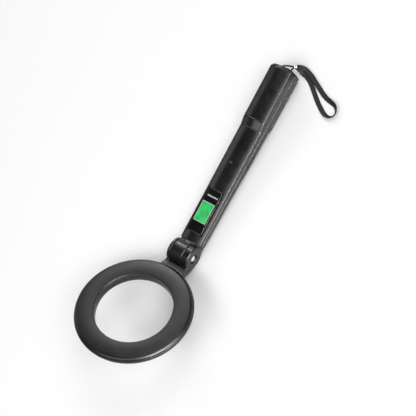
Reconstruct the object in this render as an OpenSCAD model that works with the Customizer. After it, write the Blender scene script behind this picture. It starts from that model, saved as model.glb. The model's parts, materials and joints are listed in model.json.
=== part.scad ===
// Folding hand-held metal detector with a round search ring.
// Three frames are used. The handle frame has its origin on the hinge axis, +X to the screw side,
// +Y to the butt and +Z out of the display face. The head frame is the same one turned with the ring.
// The floor frame is the part's own: Z is up from the surface that the part rests on.

/* [Search ring] */
// Outer diameter of the ring
ring_d = 150; // [146:1:152]
// Diameter of the hole in the ring
hole_d = 99; // [96:1:100]
// Height of the ring above its middle plane
ring_up = 7; // [6.6:0.1:7.4]
// Depth of the ring below its middle plane
ring_down = 7.4; // [7:0.1:7.8]
// Hinge axis to ring centre
reach = 100; // [99:0.5:102]
// Offset of the ring's middle plane from the hinge axis
ring_drop = -4; // [-5:0.5:-3]
// Wall of the ring's two shells
ring_wall = 2; // [1.6:0.1:2.2]

/* [Hinge] */
// Angle of the ring to the handle, raised towards the display
bend = 30.3; // [0:0.1:45]
// Radius of the hinge barrel and ears
hinge_r = 16; // [15.5:0.5:16]
// Radius of the hinge screw's shank
pin_r = 2.5; // [2:0.1:2.8]
// Radial running clearance of the shank in the barrel
pin_play = 0.06; // [0.02:0.01:0.1]

/* [Handle] */
// Width of the handle
handle_w = 32; // [31:0.5:33]
// Hinge axis to the end of the butt
handle_l = 269; // [268:1:272]
// Wall of the handle's shells
wall = 2; // [1.6:0.1:2.2]
// Rise of the convex front above its side edges
crown = 4.2; // [3.6:0.2:4.6]

/* [Controls] */
// Travel of the side button
button_travel = 1; // [0.6:0.1:1]
// Radius of the alarm lamp
lamp_r = 1.25; // [1:0.05:1.5]

/* [Strap] */
// Diameter of the strap's cord
cord_d = 2.2; // [1.8:0.1:2.4]
// Width of the strap's webbing
web_w = 6.4; // [6:0.2:6.6]
// Thickness of the webbing
web_t = 1.2; // [1:0.1:1.3]

/* [Hidden] */
$fn = 96;
e = 0.01;
ring_r = ring_d / 2;
hole_r = hole_d / 2;
top_edge_r = 5.8;
bottom_edge_r = 8;
inner_edge_r = 1.5;
ring_crown_x = 61;
ring_crown_r = 90;
arc_steps = 8;
seam_z = 3;
coil_r0 = 62;
former_r0 = 58.4;
former_w = 8.4;
ring_screw_at = 54.8;
ring_screw_angles = [0 : 60 : 300];

ear_in_l = -12.4;
ear_out_l = -16.5;
ear_in_r = 7;
ear_out_r = 16.5;
barrel_l = -12;
barrel_r = 6.6;
neck_top = -3;
neck_back = -16;
screw_seat = 13.5;
screw_recess_r = 6;
screw_head_r = 4.6;
screw_head_h = 2.3;
// The handle's end is a cup round the ears, this far from them.
cup_play = 0.4;
cup_half_w = 14.2;

shell_y0 = 18.3;
ramp_y0 = 182.4;
ramp_y1 = 194.2;
back_ramp_y0 = 187;
back_ramp_y1 = 195;
butt_y = handle_l - 5;
butt_edge = 8.1;
butt_back = -24;
// The shells' end face leans back by this much for each unit of depth, and the butt cap squares it up.
butt_lean = 0.09;
cap_y = handle_l + 3.4;
cap_inset = 0.8;
cap_round = 3;
door_y0 = back_ramp_y1 + 0.4;
door_top = -15.3;
cap_bottom = door_top + 0.3;
grip_back = -25;
edge_r = 5;
// The handle's length stations: [y, side edge of the front, back, inset of the sides]
STATIONS = [
    [shell_y0, 0.6, -16, 0], [105, 2, -18, 0], [130, 2.4, -20, 0], [ramp_y0, 3.3, -21.2, 0],
    [back_ramp_y0, 4.8, -21.3, 0], [ramp_y1, 7.2, -24.6, 0], [back_ramp_y1, 7.22, grip_back, 0],
    [butt_y, 8.3, grip_back, 0], [handle_l - 1, 8.35, -24.6, 0.2], [handle_l, butt_edge, butt_back, 0.8]];
PARTING = [[0, -4.8], [75, -4.8], [150, -6.5], [300, -6.5]];
crown_steps = 12;
end_crown_r = 32.6;
face_z0 = 0.3;
face_tilt = atan(2.7 / 164);

window_w = 21;
window_y0 = 31.6;
window_y1 = 90.5;
window_top = 3.4;
window_t = 1;
lcd_x = -0.8;
lcd_w = 20;
lcd_y0 = 43.8;
lcd_y1 = 74.8;
board_top = -4.5;
board_t = 1.6;
board_bottom = board_top - board_t;
board_y0 = 40;
board_y1 = 182;
motor_r = 2.6;
board_posts = [[-8.5, 98], [8.5, 98], [-8.5, 172], [8.5, 172]];
case_posts = [[0, 186.5], [-10.5, 260.5], [10.5, 260.5]];
tang_post = [-2, 29];
button_y = 144;
button_z = -11.4;
button_r = 3.2;
button_half = 4.6;
button_tilt = -13;
battery = [26.5, 48.5, 17.5];
battery_y0 = 206;
battery_z0 = -22.8;
eye_x = [-3.5, 11.5];
eye_z = 3.5;
eye_r = 1.8;

// The handle is pitched until its barrel and the corner behind the back ramp both touch the floor.
corner_d = norm([back_ramp_y1, grip_back]);
pitch = atan(-grip_back / back_ramp_y1) - asin(hinge_r / corner_d);
ring_tilt = bend - pitch;
ring_y = -reach * cos(ring_tilt) + ring_drop * sin(ring_tilt);
front_y = ring_y - (ring_r - bottom_edge_r) * cos(ring_tilt) - bottom_edge_r
    + (bottom_edge_r - ring_down) * sin(ring_tilt);
back_y = cap_y * cos(pitch) - cap_bottom * sin(pitch);
mid_y = (front_y + back_y) / 2;

// Strap routes in the floor frame, with y counted from the hinge axis. Points are x, y, z.
CORD = [
    [3, 281.6, 17], [2.1, 280.2, 20], [0.8, 278.5, 23.3], [-0.7, 276.7, 26.4], [-2.1, 274.9, 29.1],
    [-3.1, 272.9, 31], [-3.5, 270.6, 31.9], [-3.5, 268.2, 31.9], [-3.1, 266.2, 31.8],
    [-1.8, 264.6, 31.7], [0.6, 263.8, 31.6], [4, 263.7, 31.6], [7.4, 263.8, 31.6], [9.8, 264.6, 31.7],
    [11.1, 266.2, 31.8], [11.5, 268.2, 31.9], [11.5, 270.6, 31.9], [11.2, 272.9, 31],
    [10.4, 274.9, 28.9], [9.2, 277, 26], [7.8, 279, 22.7], [6.2, 280.5, 19.6], [4.9, 281.4, 17.2]];
FERRULE = [[3.6, 281.1, 17.6], [6.6, 283.5, 13.6]];
// The webbing's last two numbers are its width there and how far it is turned on edge, in degrees.
WEB = [
    [5.9, 283.9, 14.4, 3.6, 0], [8, 286.6, 10.5, 5, 0], [13, 288.6, 5.4, web_w, 0],
    [25, 284.6, 2.6, web_w, 0], [36, 278.2, 2.5, web_w, 0], [46, 272.2, 1.9, web_w, 0],
    [54.4, 267.2, 1.6, web_w, 4], [61.4, 264.1, 1.6, web_w, 12], [69.3, 261.8, 2.3, web_w, 28],
    [75.4, 259.6, 2.9, web_w, 44], [79.4, 256, 3.2, web_w, 56], [81.6, 251.8, 3.3, web_w, 62],
    [81.8, 247.6, 3.3, web_w, 60], [80, 244.6, 3.1, web_w, 54], [77, 242.8, 2.9, web_w, 46],
    [72.6, 242.8, 2.5, web_w, 34], [67, 244.9, 1.7, web_w, 16], [60.2, 249.2, 1, web_w, 0],
    [53, 254.6, 0.9, web_w, 0], [45.4, 261.2, 0.9, web_w, 0], [38.6, 267.4, 0.9, web_w, 0],
    [31.6, 273.6, 0.9, web_w, 0], [21.4, 280.2, 0.9, web_w, 0], [12.6, 283, 2.4, web_w, 0],
    [8.6, 283.4, 6.4, 5, 0], [6, 282.9, 12.6, 3.6, 0]];

// ---- frames ----
module floor_frame() translate([0, -mid_y, 0]) children();
module handle_frame() floor_frame() translate([0, 0, hinge_r]) rotate([pitch, 0, 0]) children();
module head_frame() handle_frame() rotate([-bend, 0, 0]) children();
module ring_frame() head_frame() translate([0, -reach, ring_drop]) children();
// The face frame lies along the side edges of the front, so the crown's top is at z = crown.
module face_frame() handle_frame() translate([0, 0, face_z0]) rotate([face_tilt, 0, 0]) children();

// ---- small shapes ----
// A box between two corners
module box(lo, hi) translate(lo) cube(hi - lo);
// A cylinder along X from x0 to x1
module x_rod(r, x0, x1) translate([x0, 0, 0]) rotate([0, 90, 0]) cylinder(r = r, h = x1 - x0);
// A cylinder along Y from y0 to y1
module y_rod(r, y0, y1) translate([0, y0, 0]) rotate([-90, 0, 0]) cylinder(r = r, h = y1 - y0);
// A cylinder along Z from z0 to z1
module z_rod(r, z0, z1) translate([0, 0, z0]) cylinder(r = r, h = z1 - z0);
// A prism along X with its outline in Y and Z
module side_prism(outline, width) rotate([90, 0, 90])
    linear_extrude(width, center = true) polygon(outline);
// A cylinder between two points
module rod_between(a, b, r) {
    d = b - a;
    translate(a) rotate([0, acos(d[2] / norm(d)), atan2(d[1], d[0])]) cylinder(r = r, h = norm(d));
}

// ---- lofts and sweeps ----
function handle_section(w, edge, back, r) = concat(
    [for (i = [0 : crown_steps]) let (u = -1 + 2 * i / crown_steps) [u * w / 2, edge + crown * (1 - u * u)]],
    [for (a = [0 : 30 : 90]) [w / 2 - r + r * cos(a), back + r - r * sin(a)]],
    [for (a = [0 : 30 : 90]) [-w / 2 + r - r * sin(a), back + r - r * cos(a)]]);
// A solid through equal rings of 3D points, each ring listed clockwise as seen from the first end
module loft(rings) {
    n = len(rings[0]);
    last = len(rings) - 1;
    polyhedron(
        points = [for (ring = rings) for (p = ring) p],
        faces = concat(
            [[for (j = [0 : n - 1]) j]],
            [[for (j = [n - 1 : -1 : 0]) last * n + j]],
            [for (i = [0 : last - 1]) for (j = [0 : n - 1])
                [i * n + j, (i + 1) * n + j, (i + 1) * n + (j + 1) % n]],
            [for (i = [0 : last - 1]) for (j = [0 : n - 1])
                [i * n + j, (i + 1) * n + (j + 1) % n, i * n + (j + 1) % n]]));
}
// How far a station's point leans back at the butt
function lean(s, z) = s[0] > butt_y ? butt_lean * (s[1] - z) : 0;
module handle_loft(inset, y_first, y_last) loft(
    [for (s = STATIONS)
        [for (p = handle_section(handle_w - 2 * s[3] - 2 * inset, s[1] - inset, s[2] + inset, edge_r - inset))
            [p[0], min(max(s[0], y_first), y_last) + lean(s, p[1]), p[1]]]]);
function unit(v) = v / norm(v);
function tangent(path, i) = unit([for (k = [0 : 2])
    path[min(i + 1, len(path) - 1)][k] - path[max(i - 1, 0)][k]]);
// An eight-sided ring round a path point: half width a, half thickness b, turned by roll about the path
function band_ring(path, i, a, b, roll) =
    let (t = tangent(path, i), flat = unit(cross([0, 0, 1], t)), up = cross(t, flat),
        s = flat * cos(roll) + up * sin(roll), n = up * cos(roll) - flat * sin(roll), c = 0.45)
    [for (q = [[-1, c], [-c, 1], [c, 1], [1, c], [1, -c], [c, -1], [-c, -1], [-1, -c]])
        [for (k = [0 : 2]) path[i][k] + s[k] * a * q[0] + n[k] * b * q[1]]];

// ---- handle bodies shared by both shells ----
module handle_outer() handle_loft(0, 0, 400);
module handle_cavity() handle_loft(wall, shell_y0 + wall, handle_l - 3);
module above_parting() side_prism(concat(PARTING, [[300, 40], [0, 40]]), 60);
module below_parting() side_prism(concat(PARTING, [[300, -60], [0, -60]]), 60);
// The tang of the barrel, held between the shells
module tang(grow) box([-10 - grow, shell_y0 - 1, -12 - grow], [5.6 + grow, 38, -2 + grow]);
module button_slot(grow, x0, x1) translate([0, button_y, button_z]) rotate([button_tilt, 0, 0]) {
    for (s = [-1, 1]) translate([0, s * button_half, 0]) x_rod(button_r + grow, x0, x1);
    box([x0, -button_half, -button_r - grow], [x1, button_half, button_r + grow]);
}

// ---- search head ----
// Points of an arc about c, from angle a0 to a1
function arc(c, r, a0, a1) =
    [for (i = [0 : arc_steps]) let (a = a0 + (a1 - a0) * i / arc_steps) c + r * [cos(a), sin(a)]];
// How far the convex top falls at radius x
function crown_drop(x) = pow(x - ring_crown_x, 2) / (2 * ring_crown_r);
// The ring's section: x is the radius. The inset leaves the cavity.
function ring_outline(inset) =
    let (x0 = hole_r + inset, x1 = ring_r - inset, z0 = inset - ring_down, z1 = ring_up - inset,
        rt = top_edge_r - inset, rb = bottom_edge_r - inset, ri = max(inner_edge_r - inset, 0.3))
    concat(
        arc([x1 - rb, z0 + rb], rb, -90, 0),
        arc([x1 - rt, z1 - rt - crown_drop(x1 - rt)], rt, 0, 90),
        [for (x = [66 : -3 : 54]) [x, z1 - crown_drop(x)]],
        arc([x0 + ri, z1 - ri - crown_drop(x0 + ri)], ri, 90, 180),
        arc([x0 + ri, z0 + ri], ri, 180, 270));
// The shell wall of the ring between two heights. A lip cuts the seam's groove into the upper edge.
module ring_wall_between(z0, z1, lip) rotate_extrude() difference() {
    intersection() {
        difference() {
            polygon(ring_outline(0));
            polygon(ring_outline(ring_wall));
        }
        translate([0, z0]) square([ring_r + 5, z1 - z0]);
    }
    translate([ring_r - lip, z1 - 0.6]) square([5, 1]);
}
module on_screw_circle() for (a = ring_screw_angles)
    rotate([0, 0, a]) translate([ring_screw_at, 0, 0]) children();
// The plug of the neck inside the ring, in the ring's frame
module neck_plug(grow) box([-11 - grow, 60 - grow, -3.5 - grow], [11 + grow, 76, 1.5 + grow]);
module ring_top_shell() color("#2e2f31") ring_frame() difference() {
    union() {
        ring_wall_between(seam_z, ring_up + 1, -1);
        on_screw_circle() z_rod(2.8, -2, ring_up - ring_wall + 0.5);
    }
    on_screw_circle() z_rod(1.1, -3, 4);
}
module ring_bottom_shell() color("#242527") ring_frame() difference() {
    union() {
        ring_wall_between(-ring_down - 1, seam_z, 0.4);
        on_screw_circle() z_rod(3, -ring_down + 0.5, -2);
    }
    on_screw_circle() z_rod(1.1, -ring_down, 0);
    on_screw_circle() z_rod(2.5, -ring_down - 1, -ring_down + 1.6);
    neck_plug(0);
}
module coil_former() color("#d8d4c4") ring_frame() difference() {
    rotate_extrude() difference() {
        translate([former_r0, -ring_down + ring_wall]) square([former_w, 7.4]);
        translate([coil_r0, -2.5]) square([8, 3]);
    }
    box([-12, 50, -4.6], [12, 80, 4]);
}
module search_coil() color("#b87333") ring_frame() rotate_extrude() translate([coil_r0, -2.5]) square([4, 3]);
module ring_screws() color("silver") ring_frame() on_screw_circle() {
    z_rod(2.3, -ring_down + 0.3, -ring_down + 1.6);
    z_rod(1.1, -ring_down + 1.6 - e, 3.6);
}
// The neck's outline in plan, flared where it meets the ring
module neck_plan() polygon([
    [-16.5, -8], [-16.5, -18], [-18.6, -26], [-18.6, -34],
    [18.6, -34], [18.6, -26], [16.5, -18], [16.5, -8]]);
module neck_yoke() color("#1d1e20") head_frame() difference() {
    union() {
        x_rod(hinge_r, ear_out_l, ear_out_r);
        difference() {
            intersection() {
                translate([0, 0, neck_back]) linear_extrude(neck_top - neck_back) neck_plan();
                side_prism([[-34, -11], [-24, -14], [-14, neck_back], [0, neck_back], [0, 0], [-34, 0]], 60);
            }
            translate([0, -reach, 0]) z_rod(ring_r, -30, 10);
        }
        for (s = [[ear_out_l, ear_in_l], [ear_in_r, ear_out_r]])
            box([s[0], -18, neck_back], [s[1], 0, neck_top]);
        translate([0, -reach, ring_drop]) difference() {
            neck_plug(0);
            z_rod(66, -10, 10);
        }
    }
    x_rod(hinge_r + 0.5, ear_in_l, ear_in_r);
    x_rod(pin_r, -30, 30);
    x_rod(screw_recess_r, screw_seat, 30);
    translate([ear_out_l - 1, 0, 0]) rotate([0, 90, 0]) cylinder(r = 4.5, h = 3.4, $fn = 6);
    translate([0, 0, ring_drop - 1]) y_rod(1.4, -60, -10);
}
module hinge_screw() color("#dcdcdc") head_frame() difference() {
    union() {
        x_rod(pin_r, -16.3, screw_seat);
        translate([screw_seat, 0, 0]) rotate([0, 90, 0])
            cylinder(r = screw_head_r, h = screw_head_h, $fn = 6);
    }
    x_rod(1, 15.2, 17);
}
module hinge_nut() color("silver") head_frame() difference() {
    translate([ear_out_l + 0.2, 0, 0]) rotate([0, 90, 0]) cylinder(r = 4.5, h = 2.2, $fn = 6);
    x_rod(pin_r, -20, -10);
}
module coil_lead() color("#151515") head_frame()
    translate([0, 0, ring_drop - 1]) y_rod(1.4, -reach + 66, -17.5);

// ---- hinge side of the handle ----
// A block under the crown's curve at the handle's hinge end
module under_crown(x0, x1) intersection() {
    box([x0, 0, -15], [x1, shell_y0, 10]);
    translate([0, 0, 0.6 + crown - end_crown_r]) y_rod(end_crown_r, -1, 20);
}
module hinge_barrel() color("#2a2b2d") handle_frame() difference() {
    union() {
        x_rod(hinge_r, barrel_l, barrel_r);
        under_crown(barrel_l, barrel_r);
        difference() {
            under_crown(-cup_half_w, cup_half_w);
            x_rod(hinge_r + cup_play, -20, 20);
        }
        tang(0);
    }
    x_rod(pin_r + pin_play, -20, 20);
    for (s = [[-20, barrel_l + 0.7], [barrel_r - 0.7, 20]]) x_rod(7, s[0], s[1]);
    translate([tang_post[0], tang_post[1], 0]) z_rod(1.2, -20, 5);
    translate([2, 0, -8]) y_rod(1.4, 12, 50);
}
module friction_washers() color("#c9b26a") handle_frame()
    for (x = [barrel_l - 0.3, barrel_r - 0.7]) difference() {
    x_rod(7, x, x + 1);
    x_rod(pin_r + pin_play, x - 1, x + 2);
}

// ---- handle shells ----
module strap_eyes() for (x = eye_x) translate([x, 0, eye_z]) y_rod(eye_r, 264.5, 275);
module front_shell() color("#2b2c2e") difference() {
    union() {
        handle_frame() intersection() {
            difference() {
                handle_outer();
                handle_cavity();
            }
            above_parting();
        }
        face_frame() {
            box([-12.5, window_y0 - 2, 0.2], [12.5, window_y1 + 2, window_top - window_t + 0.2]);
            for (p = board_posts) translate([p[0], p[1], 0]) z_rod(2.3, board_top, 1.4);
        }
        handle_frame() {
            for (p = case_posts) translate([p[0], p[1], 0]) z_rod(2.4, -6.5, p[1] < door_y0 ? 6.2 : 8.6);
            translate([tang_post[0], tang_post[1], 0]) z_rod(2.6, -2, 3.4);
        }
    }
    face_frame() {
        box([-window_w / 2, window_y0, window_top - window_t], [window_w / 2, window_y1, 12]);
        box([lcd_x - lcd_w / 2, lcd_y0, -5], [lcd_x + lcd_w / 2, lcd_y1, 5]);
        translate([0, 132, 0]) z_rod(lamp_r, -5, 8);
        for (p = board_posts) translate([p[0], p[1], 0]) z_rod(0.9, board_top - 1, 0.6);
    }
    handle_frame() {
        tang(0);
        for (p = case_posts) translate([p[0], p[1], 0]) z_rod(1.1, -8, 1);
        translate([tang_post[0], tang_post[1], 0]) z_rod(1.1, -8, 2.4);
        strap_eyes();
    }
}
module rear_shell() color("#242527") handle_frame() difference() {
    union() {
        intersection() {
            difference() {
                handle_outer();
                handle_cavity();
            }
            below_parting();
            side_prism([[0, 0], [300, 0], [300, door_top + 0.3], [back_ramp_y1, door_top + 0.3],
                [back_ramp_y1, -60], [0, -60]], 60);
        }
        // Thick pad round the button, and the bulkhead before the battery
        intersection() {
            box([10.8, button_y - 11, -19], [15, button_y + 11, -6.6]);
            handle_loft(1, 0, 400);
        }
        box([-14.2, 197, door_top + 0.3], [14.2, 198.6, -6.5]);
        for (p = case_posts) translate([p[0], p[1], 0])
            z_rod(2.4, p[1] < door_y0 ? -20 : door_top + 0.3, -6.5);
        for (s = [-1, 1]) translate([s * 12.5, case_posts[1][1], 0])
            box([-1.8, -1.2, door_top + 0.3], [1.8, 1.2, -6.5]);
        translate([tang_post[0], tang_post[1], 0]) z_rod(3.4, -15.6, -12);
    }
    tang(0);
    button_slot(0.4, 5, 20);
    for (p = case_posts) translate([p[0], p[1], 0]) {
        z_rod(1.2, -30, 0);
        z_rod(2.1, -30, p[1] < door_y0 ? -17 : door_top + 2);
    }
    translate([tang_post[0], tang_post[1], 0]) {
        z_rod(1.2, -30, 0);
        z_rod(2.1, -30, -14.2);
    }
    box([-5.5, 196, -10.5], [5.5, 200, -5]);
}
// The pillow-shaped cap on the butt, above the battery door
module butt_cap() color("#1c1d1f") handle_frame() difference() {
    intersection() {
        loft([for (f = [0, 0.5, 0.8, 0.95, 1]) let (i = cap_inset + cap_round * (1 - sqrt(1 - f * f)))
            [for (p = handle_section(handle_w - 2 * i, butt_edge - i, butt_back + i, edge_r - i))
                [p[0], (1 - f) * (handle_l + butt_lean * (butt_edge - p[1])) + f * cap_y, p[1]]]]);
        box([-30, 260, cap_bottom], [30, 280, 30]);
    }
    strap_eyes();
}
module battery_door() color("#1f2022") handle_frame() difference() {
    intersection() {
        difference() {
            handle_outer();
            handle_cavity();
        }
        box([-30, door_y0, -40], [30, 300, door_top]);
    }
    // Finger grooves across the back
    for (y = [200 : 3 : 212]) translate([0, y, grip_back - 0.3]) x_rod(0.8, -9, 9);
}

// ---- display ----
module display_window() color("#0c0d0e") face_frame()
    box([-window_w / 2, window_y0, window_top - window_t], [window_w / 2, window_y1, window_top]);
module display_module() color("#2fd06a") face_frame() {
    box([lcd_x - lcd_w / 2, lcd_y0, 0], [lcd_x + lcd_w / 2, lcd_y1, window_top - window_t]);
    box([-9, lcd_y0 + 1, -3], [8, lcd_y1 - 1, 0]);
}
module display_bezel() color("#3a3b3d") face_frame() difference() {
    union() {
        box([-12, lcd_y0 - 3, board_top], [12, lcd_y1 + 3, -1.6]);
        box([-9.9, lcd_y0 - 3, -1.6 - e], [9.9, lcd_y1 + 3, 0]);
    }
    box([-9, lcd_y0 + 1, board_top - 1], [8, lcd_y1 - 1, 1]);
}

// ---- electronics ----
module main_board() color("#1d5a34") face_frame() difference() {
    box([-12.2, board_y0, board_top - board_t], [12.2, board_y1, board_top]);
    for (p = board_posts) translate([p[0], p[1], 0]) z_rod(0.9, -10, 0);
    box([9.8, button_y - 12, -10], [13, button_y + 12, 0]);
}
module board_chips() color("#202224") face_frame() {
    box([-5, 56, board_bottom - 1.6], [5, 66, board_bottom]);
    box([-9, 84, board_bottom - 1.7], [-4, 94, board_bottom]);
    box([3, 106, board_bottom - 1.7], [9, 116, board_bottom]);
    translate([-6, 124, 0]) z_rod(3.1, board_bottom - 7, board_bottom);
    translate([-6, 134, 0]) z_rod(2.5, board_bottom - 6, board_bottom);
    box([-10, 104, board_bottom - 3.4], [-5, 115, board_bottom]);
}
module alarm_lamp() color("#c81e1e") face_frame() translate([0, 132, 0]) {
    z_rod(lamp_r, board_top, crown - 0.2);
    translate([0, 0, crown - 0.2]) intersection() {
        sphere(lamp_r, $fn = 48);
        z_rod(2, 0, 0.6);
    }
}
module buzzer() color("#18191a") face_frame() translate([-3, 158, 0]) difference() {
    z_rod(6, board_bottom - 6, board_bottom);
    z_rod(1.2, board_bottom - 7, board_bottom - 4.5);
}
module vibration_motor() color("#9a9c9e") face_frame() translate([4, 0, board_top + motor_r + 0.2]) {
    y_rod(motor_r, 146, 156);
    box([-motor_r, 146, -motor_r - 0.2], [motor_r, 156, 0]);
    y_rod(0.7, 156 - e, 158);
    intersection() {
        y_rod(motor_r - 0.1, 158 - e, 162);
        box([-4, 150, -4], [4, 170, 0.6]);
    }
}
module side_switch() color("#101112") handle_frame() {
    box([4, button_y - 3, button_z - 3], [9, button_y + 3, button_z + 7.9]);
    translate([0, button_y, button_z]) x_rod(1.3, 9 - e, 9.8);
}
module side_button() color("#3b3c3e") handle_frame() {
    button_slot(0, 12.6, 16);
    translate([0, button_y, button_z]) x_rod(1.5, 9.8 + button_travel + 0.3, 12.6 + e);
}
module board_screws() color("silver") face_frame() for (p = board_posts) translate([p[0], p[1], 0]) {
    z_rod(1.9, board_bottom - 1.3, board_bottom);
    z_rod(0.9, board_bottom - e, 0.4);
}
module case_screws() color("silver") handle_frame() {
    for (p = case_posts) translate([p[0], p[1], p[1] < door_y0 ? -17 : door_top + 2]) {
        z_rod(2, -1.4, 0);
        z_rod(1.1, -e, 8);
    }
    translate([tang_post[0], tang_post[1], 0]) {
        z_rod(2, -15.4, -14.2);
        z_rod(1.1, -14.2 - e, 2);
    }
}

// ---- power ----
module battery() color("#b08d3a") handle_frame() translate([0, battery_y0, battery_z0]) {
    w = battery[0];
    t = battery[2];
    r = 2;
    for (x = [-w / 2 + r, w / 2 - r]) for (z = [r, t - r]) translate([x, 0, z]) y_rod(r, 0, battery[1]);
    box([-w / 2 + r, 0, 0], [w / 2 - r, battery[1], t]);
    box([-w / 2, 0, r], [w / 2, battery[1], t - r]);
    for (x = [-6.35, 6.35]) translate([x, 0, t / 2]) y_rod(3, -3, e);
}
module battery_clip() color("#26282a") handle_frame()
    box([-13, battery_y0 - 4.5, battery_z0 + 2.5], [13, battery_y0 - 3, battery_z0 + 15]);
module battery_leads() color("#b02020") handle_frame() for (x = [-4, 4])
    rod_between([x, battery_y0 - 5.2, -9], [x, 183.4, -3], 0.7);
module handle_lead() color("#151515") handle_frame() translate([2, 0, -8]) y_rod(1.4, hinge_r, 42);

// ---- wrist strap ----
module strap_cord() color("#101010") floor_frame()
    loft([for (i = [0 : len(CORD) - 1]) band_ring(CORD, i, cord_d / 2, cord_d / 2, 0)]);
module strap_ferrule() color("#d0d0d2") floor_frame() rod_between(FERRULE[0], FERRULE[1], 2.6);
module strap_webbing() color("#131313") floor_frame()
    loft([for (i = [0 : len(WEB) - 1]) band_ring(WEB, i, WEB[i][3] / 2, web_t / 2, WEB[i][4])]);

ring_top_shell();
ring_bottom_shell();
search_coil();
coil_former();
ring_screws();
neck_yoke();
hinge_screw();
hinge_nut();
coil_lead();
friction_washers();
hinge_barrel();
front_shell();
rear_shell();
display_window();
display_module();
display_bezel();
main_board();
board_chips();
alarm_lamp();
buzzer();
vibration_motor();
side_switch();
side_button();
board_screws();
case_screws();
butt_cap();
battery_door();
battery();
battery_clip();
battery_leads();
handle_lead();
strap_cord();
strap_ferrule();
strap_webbing();
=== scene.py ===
# Looks of the folding ring detector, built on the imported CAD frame. Shapes are given in millimetres
# in the handle, head, ring, face and floor frames, and become metres in the part's own frame.
import json
import math

import bpy
import numpy as np
from mathutils import Matrix, Vector


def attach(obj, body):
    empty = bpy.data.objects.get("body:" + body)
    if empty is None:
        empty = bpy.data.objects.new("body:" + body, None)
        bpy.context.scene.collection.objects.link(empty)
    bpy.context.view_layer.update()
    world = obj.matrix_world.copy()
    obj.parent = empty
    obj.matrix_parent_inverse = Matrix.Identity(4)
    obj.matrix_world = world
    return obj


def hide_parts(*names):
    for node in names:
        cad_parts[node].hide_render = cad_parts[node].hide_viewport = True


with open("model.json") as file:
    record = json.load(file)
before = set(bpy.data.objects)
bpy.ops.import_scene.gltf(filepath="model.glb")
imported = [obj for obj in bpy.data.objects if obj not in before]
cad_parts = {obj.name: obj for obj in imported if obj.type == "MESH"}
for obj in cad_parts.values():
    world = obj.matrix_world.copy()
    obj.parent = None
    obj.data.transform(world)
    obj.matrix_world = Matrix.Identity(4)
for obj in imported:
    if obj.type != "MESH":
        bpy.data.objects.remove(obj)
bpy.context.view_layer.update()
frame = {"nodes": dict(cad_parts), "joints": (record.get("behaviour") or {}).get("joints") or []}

# ---- frames ----
joints = {j["name"]: j for j in frame["joints"]}
hinge = Vector(joints["head_fold"]["pos_m"])
slide = joints["door_slide"]["axis"]
PITCH = math.atan2(slide[2], slide[1])
BEND = math.radians(30.3)
FACE_TILT = math.atan(2.7 / 164)


def turn_x(angle):
    return Matrix.Rotation(angle, 4, "X")


HANDLE = Matrix.Translation(hinge) @ turn_x(PITCH) @ Matrix.Scale(0.001, 4)
HEAD = HANDLE @ turn_x(-BEND)
RING = HEAD @ Matrix.Translation((0, -100, -4))
FACE = HANDLE @ Matrix.Translation((0, 0, 0.3)) @ turn_x(FACE_TILT)
FLOOR = Matrix.Translation((0, hinge.y, 0)) @ Matrix.Scale(0.001, 4)


# ---- mesh building ----
def to_world(points, place):
    m = np.array(place)
    return np.asarray(points, float) @ m[:3, :3].T + m[:3, 3]


def mesh_object(name, points, faces, place, sharp=40.0):
    mesh = bpy.data.meshes.new(name)
    mesh.from_pydata(to_world(points, place).tolist(), [], [tuple(f) for f in faces])
    mesh.validate()
    obj = bpy.data.objects.new(name, mesh)
    bpy.context.scene.collection.objects.link(obj)
    smooth(obj, sharp)
    return obj


def smooth(obj, sharp=40.0):
    mesh = obj.data
    mesh.polygons.foreach_set("use_smooth", [True] * len(mesh.polygons))
    mesh.set_sharp_from_angle(angle=math.radians(sharp))
    mesh.update()


def grid_faces(rows, columns, wrap_rows=False):
    """Quads through a grid whose columns wrap round."""
    i, j = np.meshgrid(np.arange(rows if wrap_rows else rows - 1), np.arange(columns), indexing="ij")
    a = i * columns + j
    b = i * columns + (j + 1) % columns
    k = (i + 1) % rows
    return np.stack([a, b, k * columns + (j + 1) % columns, k * columns + j], -1).reshape(-1, 4).tolist()


def loft(name, rings, place, sharp=40.0):
    """A closed solid through rings of points, with a flat cap on each end."""
    rings = np.asarray(rings, float)
    rows, columns = rings.shape[:2]
    faces = grid_faces(rows, columns)
    faces.append(list(range(columns))[::-1])
    faces.append([(rows - 1) * columns + j for j in range(columns)])
    obj = mesh_object(name, rings.reshape(-1, 3), faces, place, sharp)
    outward(obj)
    smooth(obj, sharp)
    return obj


def outward(obj):
    """Turns the faces out if the closed mesh has a negative volume."""
    mesh = obj.data
    mesh.calc_loop_triangles()
    co = np.empty(len(mesh.vertices) * 3)
    mesh.vertices.foreach_get("co", co)
    co = co.reshape(-1, 3) - co.reshape(-1, 3).mean(0)
    tri = np.empty(len(mesh.loop_triangles) * 3, np.int32)
    mesh.loop_triangles.foreach_get("vertices", tri)
    a, b, c = (co[tri.reshape(-1, 3)[:, k]] for k in range(3))
    if np.einsum("ij,ij->i", a, np.cross(b, c)).sum() < 0:
        mesh.flip_normals()


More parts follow.
